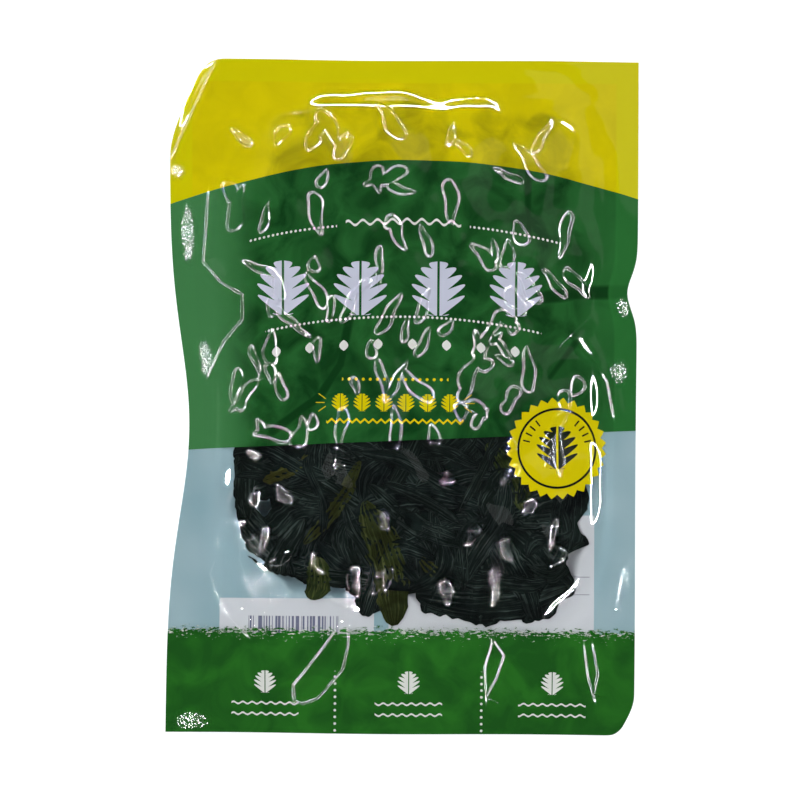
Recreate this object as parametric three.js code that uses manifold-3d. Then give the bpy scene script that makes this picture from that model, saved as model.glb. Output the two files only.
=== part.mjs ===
// A flat vacuum pouch of cut wakame, lying on its back.
// Two webs of film are sealed together round their rims, and the air is drawn out, so both webs
// cling to what lies between them: a pressed bunch of dark leaves, with a few paler leaves on it.
// Millimetres, +Z up out of the front web, +Y towards the pouch's head. The origin is on the
// surface the pouch lies on, under the middle of its outline.
import * as THREE from "three";
import { mergeVertices } from "three/addons/utils/BufferGeometryUtils.js";
import Module from "manifold-3d";

const wasm = await Module();
wasm.setup();

// The pouch: its outline, its film and the level of its sealed rim
const POUCH_WIDTH = 160;
const POUCH_HEIGHT = 230;
const FILM_THICKNESS = 0.6;
const WEB_GAP = 0.3;
const SEAL_LEVEL = 5.2;
const SEAL_WAVE = 0.9;
const SEAL_WAVE_PITCH = 104;
const SEAL_WAVE_SLANT = 0.7;
const SEAL_WAVE_PHASE = 0.6;
const PULL_POWER = 4;
const LEFT_PULL = { depth: 7.5, at: -11, reach: 42 };
const RIGHT_PULL = { depth: 3.4, at: 36, reach: 8 };
const CREASE_ROUND = 5;
const HEAD_CURL = { side: -1, end: 1, alongEnd: 18, alongSide: 34, reach: 5.5, drop: 6 };
const FOOT_CURL = { side: 1, end: -1, alongEnd: 9, alongSide: 14, reach: 3, drop: 1.6 };
const FILM_CELLS = [26, 38];

// The pressed contents: a rounded slab with a blunt edge
const PACK = { x: 3.5, y: 15.5, halfWidth: 58, halfHeight: 88, squareness: 6 };
const PACK_RISE = 6.3;
const PACK_SHOULDER = 0.8;
const FILM_REACH = 1.15;
const SHOULDER_POWER = 2.2;
const FILM_CLEARANCE = 0.8;
const CLEARANCE_GAIN = 3;
const BACK_CLEARANCE = 0.4;

// The dark leaves: a core that is smaller than the bunch, and the leaves that stand out of it
const CORE_CELLS = [12, 18];
const CORE_SHARE = 0.95;
const CORE_ROUNDING = 0.34;
const CORE_DEPTH = 1.3;
const LEAF_CELLS = [2, 6];
const LEAF_ROWS = 8;
const LEAF_COLUMNS = 4;
const LEAF_STAGGER = 0.25;
const LEAF_FIELD_SHARE = 0.78;
const LEAF_HEADING = [15, 165];
const LEAF_LENGTH = [40, 62];
const LEAF_WIDTH = [13, 19];
const LEAF_CROWN = [0.7, 1.7];
const CROWN_LENGTH_SHARE = 0.85;
const CROWN_WIDTH_SHARE = 0.87;
const LEAF_BEND = 6;
const LEAF_TAPER_POWER = 3.2;
const LEAF_TAPER_LEAST = 0.05;
const LEAF_ROOT = 2.6;
const LEAF_TIP_THICKNESS = 1.0;
const LEAF_THIN_FROM = 0.86;
const LEAF_EDGE_DROP = 0.8;
const LEAF_RUFFLE = 0.45;
const LEAF_RUFFLE_WAVES = 2.5;
const LEAF_RUFFLE_SLANT = 4;
const LEAF_LAYER = 0.5;
const EDGE_LEAF_CROWN = 0.9;
const EDGE_LEAF_BEND = 3;
const LAYOUT_SEED = 41;

// Leaves whose ends make the bunch's ragged edge: tip place, heading in degrees, length, width
const EDGE_LEAVES = [
  { x: -57, y: -30, heading: 205, length: 34, width: 22 },
  { x: -51, y: -57, heading: 225, length: 44, width: 24 },
  { x: -36, y: -70, heading: 255, length: 40, width: 20 },
  { x: -17, y: -69, heading: 268, length: 36, width: 15 },
  { x: 9, y: -76, heading: 262, length: 38, width: 16 },
  { x: 27, y: -79, heading: 272, length: 40, width: 22 },
  { x: 45, y: -79, heading: 285, length: 42, width: 20 },
  { x: 60, y: -66, heading: 318, length: 40, width: 22 },
  { x: 66, y: -50, heading: 342, length: 34, width: 11 },
  { x: 65, y: -33, heading: 12, length: 34, width: 16 },
  { x: 64, y: 8, heading: 20, length: 36, width: 20 },
  { x: 63, y: 48, heading: 355, length: 36, width: 20 },
  { x: 60, y: 92, heading: 40, length: 40, width: 20 },
  { x: 26, y: 104, heading: 80, length: 36, width: 20 },
  { x: -10, y: 104, heading: 96, length: 36, width: 20 },
  { x: -46, y: 96, heading: 130, length: 40, width: 20 },
  { x: -57, y: 60, heading: 172, length: 36, width: 20 },
  { x: -57, y: 16, heading: 190, length: 36, width: 20 },
];

// Paler leaves that lie on the bunch, seen through the clear part of the front web
const PALE_LEAF_CELLS = [2, 8];
const PALE_LEAF_THICKNESS = 0.7;
const PALE_LEAF_CLEARANCE = 0.35;
const PALE_LEAF_RUFFLE = 0.35;
const PALE_LEAF_BEND = 2;
const PALE_PAD = 1.4;
const PALE_PAD_REACH = 6;
const PALE_LEAVES = [
  { name: "pale_leaf_long", x: -1.5, y: -78, heading: 284, length: 44, width: 15, colour: 0x3c4a16 },
  { name: "pale_leaf_tip", x: -30, y: -69.5, heading: 262, length: 15, width: 10, colour: 0x33421a },
  { name: "pale_leaf_strip", x: -33, y: -50, heading: 236, length: 34, width: 7, colour: 0x4a4a16 },
  { name: "pale_leaf_stub", x: -47, y: -29, heading: 210, length: 18, width: 7, colour: 0x6a5a1c },
  { name: "pale_leaf_upper", x: 42, y: -38, heading: 300, length: 26, width: 10, colour: 0x36421a },
  { name: "pale_leaf_small", x: 14, y: -64, heading: 306, length: 12, width: 6, colour: 0x3c4418 },
];

// Finishes: wet leaves, and glossy film that is partly see-through at the front
const FRONT_INK_GREEN = 0x1c5f22;
const FRONT_ROUGHNESS = 0.15;
const FRONT_OPACITY = 0.6;
const BACK_INK_BLUE = 0xa9c3cb;
const BACK_ROUGHNESS = 0.25;
const WAKAME_DARK = 0x10150f;
const WAKAME_ROUGHNESS = 0.35;

const { clamp, lerp, degToRad } = THREE.MathUtils;

// Numbers from 0 to 1 in a fixed order, so that the layout is the same each time
function seededNumbers(seed) {
  let state = seed;
  return () => {
    state = (state * 1664525 + 1013904223) % 4294967296;
    return state / 4294967296;
  };
}

function bell(distance, reach) {
  return Math.exp(-((distance / reach) ** 2));
}

// How far a place is from the pack's middle: 1 on the edge of the contents
function packRadius(x, y) {
  const across = Math.abs((x - PACK.x) / PACK.halfWidth) ** PACK.squareness;
  const along = Math.abs((y - PACK.y) / PACK.halfHeight) ** PACK.squareness;
  return (across + along) ** (1 / PACK.squareness);
}

// 1 over the body of the contents, falling to 0 where the webs meet
function fullness(x, y) {
  const share = clamp((FILM_REACH - packRadius(x, y)) / (FILM_REACH - PACK_SHOULDER), 0, 1);
  return 1 - (1 - share) ** SHOULDER_POWER;
}

function sealLevel(x, y) {
  const phase = (2 * Math.PI * (x + SEAL_WAVE_SLANT * y)) / SEAL_WAVE_PITCH;
  return SEAL_LEVEL + SEAL_WAVE * Math.sin(phase + SEAL_WAVE_PHASE);
}

// A leaf's own frame: its middle, the way it points, and the way across it
function placeLeaf(tip, crown, bend, depth) {
  const along = new THREE.Vector2(Math.cos(degToRad(tip.heading)), Math.sin(degToRad(tip.heading)));
  const across = new THREE.Vector2(-along.y, along.x);
  const middle = new THREE.Vector2(tip.x, tip.y).addScaledVector(along, -tip.length / 2);
  return { ...tip, along, across, middle, crown, bend, depth };
}

// The leaves over the body of the bunch are set in staggered rows, each turned its own way
function bodyLeaves(random) {
  const between = ([low, high]) => lerp(low, high, random());
  const laid = [];
  for (let row = 0; row < LEAF_ROWS; row++) {
    for (let column = 0; column < LEAF_COLUMNS; column++) {
      const stagger = row % 2 ? LEAF_STAGGER : -LEAF_STAGGER;
      const spreadX = ((column + 0.5 + stagger) / LEAF_COLUMNS) * 2 - 1;
      const spreadY = ((row + 0.5) / LEAF_ROWS) * 2 - 1;
      const turned = random() < 0.5 ? 180 : 0;
      const heading = between(LEAF_HEADING) + turned;
      const length = between(LEAF_LENGTH);
      const middleX = PACK.x + spreadX * PACK.halfWidth * LEAF_FIELD_SHARE;
      const middleY = PACK.y + spreadY * PACK.halfHeight * LEAF_FIELD_SHARE;
      const tip = {
        x: middleX + (Math.cos(degToRad(heading)) * length) / 2,
        y: middleY + (Math.sin(degToRad(heading)) * length) / 2,
        heading,
        length,
        width: between(LEAF_WIDTH),
      };
      const bend = lerp(-LEAF_BEND, LEAF_BEND, random());
      laid.push(placeLeaf(tip, between(LEAF_CROWN), bend, LEAF_LAYER * random()));
    }
  }
  return laid;
}

const random = seededNumbers(LAYOUT_SEED);
const edgeBend = () => lerp(-EDGE_LEAF_BEND, EDGE_LEAF_BEND, random());
const darkLeaves = [
  ...bodyLeaves(random),
  ...EDGE_LEAVES.map((tip) => placeLeaf(tip, EDGE_LEAF_CROWN, edgeBend(), LEAF_LAYER * random())),
];
const paleLeaves = PALE_LEAVES.map((tip) => placeLeaf(tip, 0, PALE_LEAF_BEND, 0));

// The point of a leaf at s from its root, 0, to its tip, 1, and t across it, from -1 to 1
function leafPoint(leaf, s, t) {
  const taper = Math.sqrt(clamp(1 - Math.abs(2 * s - 1) ** LEAF_TAPER_POWER, LEAF_TAPER_LEAST, 1));
  const bow = leaf.bend * (1 - (2 * s - 1) ** 2);
  return leaf.middle
    .clone()
    .addScaledVector(leaf.along, (s - 0.5) * leaf.length)
    .addScaledVector(leaf.across, bow + (t * taper * leaf.width) / 2);
}

// A place as a leaf sees it: along it, from -1 at its root to 1 at its tip, and across it in mm
function inLeafFrame(leaf, x, y) {
  const offset = new THREE.Vector2(x, y).sub(leaf.middle);
  const along = (2 * offset.dot(leaf.along)) / leaf.length;
  return { along, across: offset.dot(leaf.across) - leaf.bend * (1 - along ** 2) };
}

// How high a dark leaf's crown stands at a place
function leafCrown(leaf, x, y) {
  const { along, across } = inLeafFrame(leaf, x, y);
  return leaf.crown * bell(along, CROWN_LENGTH_SHARE) * bell(across, (CROWN_WIDTH_SHARE * leaf.width) / 2);
}

// The room that the film leaves over a pale leaf: full over the leaf, fading round it
function palePad(leaf, x, y) {
  const { along, across } = inLeafFrame(leaf, x, y);
  const pastEnd = ((Math.abs(along) - 1) * leaf.length) / 2;
  return PALE_PAD * bell(Math.max(pastEnd, Math.abs(across) - leaf.width / 2, 0), PALE_PAD_REACH);
}

// The upper side of the pressed bunch, crowned over each leaf
function bunchTop(x, y) {
  const full = fullness(x, y);
  const crown = Math.max(...darkLeaves.map((leaf) => leafCrown(leaf, x, y)));
  return sealLevel(x, y) * (1 - full) + (SEAL_LEVEL + PACK_RISE) * full + crown * full;
}

function backOuter(x, y) {
  return (sealLevel(x, y) - WEB_GAP / 2 - FILM_THICKNESS) * (1 - fullness(x, y));
}

function bunchBottom(x, y) {
  return backOuter(x, y) + FILM_THICKNESS + BACK_CLEARANCE;
}

function frontInner(x, y) {
  const clear = FILM_CLEARANCE * Math.min(1, CLEARANCE_GAIN * fullness(x, y));
  const pad = Math.max(...paleLeaves.map((leaf) => palePad(leaf, x, y)));
  return bunchTop(x, y) + WEB_GAP / 2 + clear + pad;
}

// Where a point of the flat-cut film lies in the filled pouch, seen from above
function filmPlace(u, v) {
  const side = Math.abs(u) / (POUCH_WIDTH / 2);
  const pull = u < 0 ? LEFT_PULL : RIGHT_PULL;
  const drawnIn = pull.depth * bell(v - pull.at, pull.reach) * side ** PULL_POWER;
  return new THREE.Vector2(u - Math.sign(u) * drawnIn, v);
}

// Curls a corner down past its crease, which runs from alongEnd to alongSide: however far a point
// is past the crease, it comes to lie within reach of it
function curlCorner(point, { side, end, alongEnd, alongSide, reach, drop }) {
  const corner = new THREE.Vector2((side * POUCH_WIDTH) / 2, (end * POUCH_HEIGHT) / 2);
  const outward = new THREE.Vector2(side * alongSide, end * alongEnd).normalize();
  const onCrease = corner.clone().setX(corner.x - side * alongEnd);
  const past = new THREE.Vector2(point.x, point.y).sub(onCrease).dot(outward);
  if (past <= 0) return point;
  const share = 1 - Math.exp(-past / reach);
  const eased = past / (past + CREASE_ROUND);
  point.x -= outward.x * (past - reach * share);
  point.y -= outward.y * (past - reach * share);
  point.z -= drop * share * eased;
  return point;
}

// A closed slab over a grid of cells, split into triangles alike on its upper and lower sides.
// upper and lower give the points at (i, j), with i and j from 0 to 1.
function slab([columns, rows], upper, lower) {
  const positions = [];
  const index = [];
  const layer = (columns + 1) * (rows + 1);
  const at = (i, j) => j * (columns + 1) + i;
  for (const side of [upper, lower]) {
    for (let j = 0; j <= rows; j++) {
      for (let i = 0; i <= columns; i++) positions.push(...side(i / columns, j / rows).toArray());
    }
  }
  for (let j = 0; j < rows; j++) {
    for (let i = 0; i < columns; i++) {
      const [a, b, c, d] = [at(i, j), at(i + 1, j), at(i + 1, j + 1), at(i, j + 1)];
      index.push(a, b, c, a, c, d);
      index.push(layer + c, layer + b, layer + a, layer + d, layer + c, layer + a);
    }
  }
  const wall = (from, to) => index.push(to, from, layer + from, to, layer + from, layer + to);
  for (let i = 0; i < columns; i++) {
    wall(at(i, 0), at(i + 1, 0));
    wall(at(i + 1, rows), at(i, rows));
  }
  for (let j = 0; j < rows; j++) {
    wall(at(columns, j), at(columns, j + 1));
    wall(at(0, j + 1), at(0, j));
  }
  const geometry = new THREE.BufferGeometry();
  geometry.setAttribute("position", new THREE.Float32BufferAttribute(positions, 3));
  geometry.setIndex(index);
  return geometry;
}

function filmPoint(i, j, level) {
  const flat = filmPlace((i - 0.5) * POUCH_WIDTH, (j - 0.5) * POUCH_HEIGHT);
  const point = new THREE.Vector3(flat.x, flat.y, level(flat.x, flat.y));
  return curlCorner(curlCorner(point, HEAD_CURL), FOOT_CURL);
}

function frontFilm() {
  return slab(
    FILM_CELLS,
    (i, j) => filmPoint(i, j, (x, y) => frontInner(x, y) + FILM_THICKNESS),
    (i, j) => filmPoint(i, j, frontInner),
  );
}

function backFilm() {
  return slab(
    FILM_CELLS,
    (i, j) => filmPoint(i, j, (x, y) => backOuter(x, y) + FILM_THICKNESS),
    (i, j) => filmPoint(i, j, backOuter),
  );
}

// The core fills the bunch under its leaves: a square grid drawn in at its corners
function bunchCore() {
  const place = (i, j) => {
    const [a, b] = [2 * i - 1, 2 * j - 1];
    const x = PACK.x + PACK.halfWidth * CORE_SHARE * a * Math.sqrt(1 - CORE_ROUNDING * b * b);
    const y = PACK.y + PACK.halfHeight * CORE_SHARE * b * Math.sqrt(1 - CORE_ROUNDING * a * a);
    return [x, y];
  };
  const pointAt = (level) => (i, j) => {
    const [x, y] = place(i, j);
    return new THREE.Vector3(x, y, level(x, y));
  };
  return slab(CORE_CELLS, pointAt((x, y) => bunchTop(x, y) - CORE_DEPTH), pointAt(bunchBottom));
}

// The wave of a leaf's edges, from -1 to 1, which starts at another place on each leaf
function ruffle(leaf, s, t) {
  return Math.sin(leaf.length + 2 * Math.PI * LEAF_RUFFLE_WAVES * s + LEAF_RUFFLE_SLANT * t);
}

// A dark leaf: a waved blade that lies on the bunch, with its root sunk into the core
function darkLeaf(leaf) {
  const upper = (i, j) => {
    const t = 1 - 2 * i;
    const place = leafPoint(leaf, j, t);
    const wave = LEAF_RUFFLE * t * t * (1 + ruffle(leaf, j, t));
    const top = bunchTop(place.x, place.y) - leaf.depth - LEAF_EDGE_DROP * t * t - wave;
    return new THREE.Vector3(place.x, place.y, top);
  };
  const lower = (i, j) => {
    const point = upper(i, j);
    const outside = clamp((packRadius(point.x, point.y) - LEAF_THIN_FROM) / (1 - LEAF_THIN_FROM), 0, 1);
    const under = point.z - lerp(LEAF_ROOT, LEAF_TIP_THICKNESS, outside);
    point.z = Math.max(under, bunchBottom(point.x, point.y));
    return point;
  };
  return slab(LEAF_CELLS, upper, lower);
}

// A pale leaf: a thin waved blade that lies free on the bunch
function paleLeaf(leaf) {
  const raised = (lift) => (i, j) => {
    const t = 1 - 2 * i;
    const place = leafPoint(leaf, j, t);
    const wave = (PALE_LEAF_RUFFLE / 2) * t * t * (1 + ruffle(leaf, j, t));
    return new THREE.Vector3(place.x, place.y, bunchTop(place.x, place.y) + lift + wave);
  };
  const floor = PALE_LEAF_CLEARANCE;
  return slab(PALE_LEAF_CELLS, raised(floor + PALE_LEAF_THICKNESS), raised(floor));
}

function toSolid(geometry) {
  const merged = mergeVertices(geometry);
  return new wasm.Manifold(
    new wasm.Mesh({
      numProp: 3,
      vertProperties: merged.getAttribute("position").array,
      triVerts: new Uint32Array(merged.index.array),
    }),
  );
}

function fromSolid(solid) {
  const { vertProperties, triVerts } = solid.getMesh();
  const geometry = new THREE.BufferGeometry();
  geometry.setAttribute("position", new THREE.BufferAttribute(vertProperties, 3));
  geometry.setIndex(new THREE.BufferAttribute(triVerts, 1));
  return geometry;
}

// The bunch is its core and its leaves in one body. Small hollows shut in between them are filled:
// only the outermost surface is kept.
function darkBunch() {
  const blades = darkLeaves.map((leaf) => toSolid(darkLeaf(leaf)));
  const joined = blades.reduce((bunch, blade) => bunch.add(blade), toSolid(bunchCore()));
  const surfaces = joined.decompose().sort((a, b) => b.volume() - a.volume());
  return fromSolid(surfaces[0]);
}

const pouch = new THREE.Group();

function addPiece(name, geometry, colour, roughness, opacity = 1) {
  const material = new THREE.MeshStandardMaterial({
    color: colour,
    roughness,
    metalness: 0,
    transparent: opacity < 1,
    opacity,
  });
  const mesh = new THREE.Mesh(geometry, material);
  mesh.name = name;
  pouch.add(mesh);
}

addPiece("back_film", backFilm(), BACK_INK_BLUE, BACK_ROUGHNESS);
addPiece("wakame_bunch", darkBunch(), WAKAME_DARK, WAKAME_ROUGHNESS);
for (const leaf of paleLeaves) addPiece(leaf.name, paleLeaf(leaf), leaf.colour, WAKAME_ROUGHNESS);
addPiece("front_film", frontFilm(), FRONT_INK_GREEN, FRONT_ROUGHNESS, FRONT_OPACITY);

export default pouch;
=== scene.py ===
import math
import random

import bmesh
import bpy
import numpy as np
from mathutils import Matrix, Vector
from mathutils.bvhtree import BVHTree


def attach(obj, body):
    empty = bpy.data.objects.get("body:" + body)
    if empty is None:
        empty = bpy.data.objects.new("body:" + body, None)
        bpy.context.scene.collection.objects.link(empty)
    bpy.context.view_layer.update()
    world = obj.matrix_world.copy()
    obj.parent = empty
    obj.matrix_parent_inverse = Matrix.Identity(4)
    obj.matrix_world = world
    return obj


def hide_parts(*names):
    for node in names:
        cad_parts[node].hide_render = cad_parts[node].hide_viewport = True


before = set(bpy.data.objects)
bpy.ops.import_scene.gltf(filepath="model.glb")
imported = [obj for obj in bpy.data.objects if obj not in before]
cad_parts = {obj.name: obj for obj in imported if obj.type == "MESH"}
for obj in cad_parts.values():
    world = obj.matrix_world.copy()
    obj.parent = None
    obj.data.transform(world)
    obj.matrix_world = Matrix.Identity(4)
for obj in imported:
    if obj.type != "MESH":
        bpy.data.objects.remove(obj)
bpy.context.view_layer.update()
scene = bpy.context.scene
mm = 0.001
print("frame loaded:", sorted(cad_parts))


# Small tools

def smoothStep(value, low, high):
    share = np.clip((value - low) / (high - low), 0, 1)
    return share * share * (3 - 2 * share)


def bell(distance, reach):
    return np.exp(-((distance / reach) ** 2))


# distance from points to a bent line, in mm
def lineDistance(x, y, points):
    nearest = np.full(np.shape(x), 1e6)
    for (ax, ay), (bx, by) in zip(points, points[1:]):
        dx, dy = bx - ax, by - ay
        share = np.clip(((x - ax) * dx + (y - ay) * dy) / (dx * dx + dy * dy), 0, 1)
        nearest = np.minimum(nearest, np.hypot(x - ax - share * dx, y - ay - share * dy))
    return nearest


def soften(values, reach):
    kernel = np.ones(2 * reach + 1) / (2 * reach + 1)
    for axis in (0, 1):
        pads = [(reach, reach) if a == axis else (0, 0) for a in (0, 1)]
        padded = np.pad(values, pads, mode="edge")
        values = np.apply_along_axis(lambda row: np.convolve(row, kernel, mode="valid"), axis, padded)
    return values


def newPiece(name, bm, material):
    mesh = bpy.data.meshes.new(name)
    bm.to_mesh(mesh)
    bm.free()
    mesh.shade_smooth()
    mesh.materials.append(material)
    piece = bpy.data.objects.new(name, mesh)
    scene.collection.objects.link(piece)
    return piece


def setHeights(mesh, x, y, z):
    places = np.stack([x, y, z], axis=-1).reshape(-1, 3) * mm
    mesh.vertices.foreach_set("co", places.astype(np.float32).ravel())
    mesh.update()


def readPlaces(mesh):
    places = np.zeros(len(mesh.vertices) * 3, np.float32)
    mesh.vertices.foreach_get("co", places)
    return places.reshape(-1, 3).astype(float) / mm


def setAttribute(mesh, name, values):
    made = mesh.attributes.new(name, "FLOAT", "POINT")
    made.data.foreach_set("value", np.asarray(values, np.float32).ravel())


# Heights over the pouch are kept in fields, in mm: arrays of cells that are read between cells
field = {"cell": 0.5, "low": (-84.0, -119.0), "columns": 337, "rows": 477}
fieldX = field["low"][0] + field["cell"] * np.arange(field["columns"])[None, :] * np.ones((field["rows"], 1))
fieldY = field["low"][1] + field["cell"] * np.arange(field["rows"])[:, None] * np.ones((1, field["columns"]))


def readField(values, x, y):
    column = np.clip((x - field["low"][0]) / field["cell"], 0, field["columns"] - 1.001)
    row = np.clip((y - field["low"][1]) / field["cell"], 0, field["rows"] - 1.001)
    i, j = column.astype(int), row.astype(int)
    a, b = column - i, row - j
    lower = values[j, i] * (1 - a) + values[j, i + 1] * a
    upper = values[j + 1, i] * (1 - a) + values[j + 1, i + 1] * a
    return lower * (1 - b) + upper * b


# the height of a frame node's upper or lower side, every other cell; outside it the edge is carried on
def nodeField(name, fromAbove):
    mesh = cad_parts[name].data
    tree = BVHTree.FromPolygons([v.co for v in mesh.vertices], [p.vertices for p in mesh.polygons])
    start, way = (0.1, Vector((0, 0, -1))) if fromAbove else (-0.1, Vector((0, 0, 1)))
    coarse = np.full((field["rows"] // 2 + 1, field["columns"] // 2 + 1), np.nan)
    for j in range(coarse.shape[0]):
        for i in range(coarse.shape[1]):
            x, y = fieldX[0, 2 * i] * mm, fieldY[2 * j, 0] * mm
            hit = tree.ray_cast(Vector((x, y, start)), way)[0]
            if hit:
                coarse[j, i] = hit.z / mm
    return coarse


def carryOn(coarse, steps=12):
    filled = coarse.copy()
    for _ in range(steps):
        empty = np.isnan(filled)
        around = np.stack([np.roll(filled, shift, axis) for axis in (0, 1) for shift in (1, -1)])
        known = ~np.isnan(around)
        total = np.where(known, around, 0).sum(0)
        count = known.sum(0)
        filled = np.where(empty & (count > 0), total / np.maximum(count, 1), filled)
    return filled


def toField(coarse):
    wide = np.repeat(np.repeat(coarse, 2, axis=0), 2, axis=1)[: field["rows"], : field["columns"]]
    return soften(wide, 1)


filmTop = toField(carryOn(nodeField("front_film", True)))
filmBottom = toField(carryOn(nodeField("back_film", False)))
bunchCoarse = nodeField("wakame_bunch", True)
bunchThere = toField(np.where(np.isnan(bunchCoarse), 0.0, 1.0))
bunchTop = toField(carryOn(bunchCoarse, 30))
bunchBottom = toField(carryOn(nodeField("wakame_bunch", False), 30))
for level in (filmTop, filmBottom, bunchTop, bunchBottom):
    level[np.isnan(level)] = np.nanmean(level)

# the webs lie close together at the rim, and part where the frame's films part
webs = {
    "rimGap": 0.12, "closed": 1.7, "open": 5.0, "backInset": 0.1,
    "clingEase": 7, "sealLevel": 5.2, "sealWave": 0.9, "wavePitch": 104, "sag": 0.7,
}
middle = (filmTop + filmBottom) / 2
parting = smoothStep(filmTop - filmBottom, webs["closed"], webs["open"])
backBase = middle - webs["rimGap"] + (filmBottom + webs["backInset"] - middle + webs["rimGap"]) * parting
# past the seal the webs cling together near the seal's level as far as the bunch
underBunch = smoothStep(soften(soften(bunchThere, webs["clingEase"]), webs["clingEase"]), 0.5, 1.0)
clingLevel = webs["sealLevel"] - webs["sag"] + webs["sealWave"] * np.sin(
    2 * math.pi * (fieldX + 0.7 * fieldY) / webs["wavePitch"] + 0.6)
backBase = backBase + parting * (1 - underBunch) * (clingLevel - backBase)
print("heights read from the frame")


# Materials

def hexColour(code):
    channels = [int(code[i:i + 2], 16) / 255 for i in (1, 3, 5)]
    linear = [c / 12.92 if c <= 0.04045 else ((c + 0.055) / 1.055) ** 2.4 for c in channels]
    return (*linear, 1.0)


# adds a node; the kind may carry its mode, and inputs are values, sockets or nodes
def put(tree, kind, *inputs, named=None, **settings):
    kind, _, mode = kind.partition(":")
    made = tree.nodes.new("ShaderNode" + kind)
    if mode:
        setattr(made, "operation" if hasattr(made, "operation") else "data_type", mode)
    for name, value in settings.items():
        setattr(made, name, value)
    live = [socket for socket in made.inputs if socket.enabled]
    for socket, value in [*zip(live, inputs), *((made.inputs[n], v) for n, v in (named or {}).items())]:
        if isinstance(value, bpy.types.Node):
            value = next(output for output in value.outputs if output.enabled)
        if isinstance(value, bpy.types.NodeSocket):
            tree.links.new(value, socket)
        elif value is not None:
            socket.default_value = value
    return made


def newMaterial(name):
    material = bpy.data.materials.new(name)
    material.use_nodes = True
    material.node_tree.nodes.clear()
    return material, material.node_tree


def finishMaterial(tree, shader):
    put(tree, "OutputMaterial", named={"Surface": shader})


# the flat cut's own coordinates in mm, from the middle of the web
def cutCoordinates(tree):
    uv = put(tree, "UVMap", uv_map="flatCut")
    centred = put(tree, "VectorMath:SUBTRACT", uv, (0.5, 0.5, 0))
    return put(tree, "VectorMath:MULTIPLY", centred, (pouch["width"], pouch["height"], 0))


# The pouch: its flat cut and where its edges are drawn in
pouch = {
    "width": 160,
    "height": 230,
    "seal": 9,
    "pullPower": 4,
    "leftPull": {"depth": 7.5, "at": -11, "reach": 42},
    "rightPull": {"depth": 3.4, "at": 36, "reach": 8},
    "curls": [
        {"side": -1, "end": 1, "alongEnd": 18, "alongSide": 34, "reach": 5.5},
        {"side": 1, "end": -1, "alongEnd": 9, "alongSide": 14, "reach": 3},
    ],
}


# where the flat cut lies in the pouch, seen from above
def placeFilm(u, v):
    side = np.abs(u) / (pouch["width"] / 2)
    left, right = pouch["leftPull"], pouch["rightPull"]
    leftDraw = left["depth"] * bell(v - left["at"], left["reach"])
    rightDraw = right["depth"] * bell(v - right["at"], right["reach"])
    x = u - np.sign(u) * np.where(u < 0, leftDraw, rightDraw) * side ** pouch["pullPower"]
    y = v
    for curl in pouch["curls"]:
        outX, outY = curl["side"] * curl["alongSide"], curl["end"] * curl["alongEnd"]
        length = math.hypot(outX, outY)
        outX, outY = outX / length, outY / length
        startX = curl["side"] * (pouch["width"] / 2 - curl["alongEnd"])
        startY = curl["end"] * pouch["height"] / 2
        past = np.maximum((x - startX) * outX + (y - startY) * outY, 0)
        drawn = past - curl["reach"] * (1 - np.exp(-past / curl["reach"]))
        x, y = x - outX * drawn, y - outY * drawn
    return x, y


# Wakame: pressed wet blades laid one on another, pleated along their length
wakame = {
    "seed": 23,
    "thickness": 0.3,
    "lift": 0.4,
    "coreDepth": 2.6,
    "layerDepth": 1.2,
    "headroom": 0.75,
    "edgeEase": 20,
    "fine": 4,
    "bend": 6,
    "sway": 2.5,
    "lobes": (3, 6),
    "lobeDepth": (0.12, 0.07),
    "pleatPitch": (1.8, 3.0),
    "pleatHeight": (0.25, 0.7),
    "edgeCells": (12, 26),
    "underPale": 0.72,
    # blades of the hidden body, and the narrower ones that show in the window
    "body": {
        "count": 44, "x": (-42, 50), "y": (-12, 92),
        "length": (36, 60), "width": (10, 17), "cells": (10, 22),
    },
    "window": {
        "count": 80, "x": (-44, 54), "y": (-64, -8),
        "length": (18, 42), "width": (4.5, 10.5), "cells": (8, 24),
    },
}
# blades whose ends make the ragged edge: tip place, heading, length, width
edgeBlades = [
    (-57, -30, 205, 34, 20), (-50, -53, 225, 40, 16), (-35, -63, 255, 34, 17), (-17, -68, 268, 36, 15),
    (9, -76, 262, 38, 16), (27, -79, 272, 40, 22), (45, -79, 285, 42, 20), (60, -66, 318, 40, 22),
    (66, -50, 342, 34, 11), (65, -33, 12, 34, 16), (64, 8, 20, 36, 20), (63, 48, 355, 36, 20),
    (60, 92, 40, 40, 20), (26, 104, 80, 36, 20), (-10, 104, 96, 36, 20), (-46, 96, 130, 40, 20),
    (-57, 60, 172, 36, 20), (-57, 16, 190, 36, 20),
]
# blades that lie along the hem and close it: the same, with their bend
hemBlades = [
    (-37, -59, 310, 36, 13, -1.5), (57, -64, 4, 52, 14, -5), (-52.5, -42, 268, 34, 11, -1),
    (-14, -61, 350, 26, 10, -1.5), (-10, -74, 270, 22, 14, 0),
    (57, -58, 265, 30, 12, 1), (58, -28, 272, 30, 11, 1),
]
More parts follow.
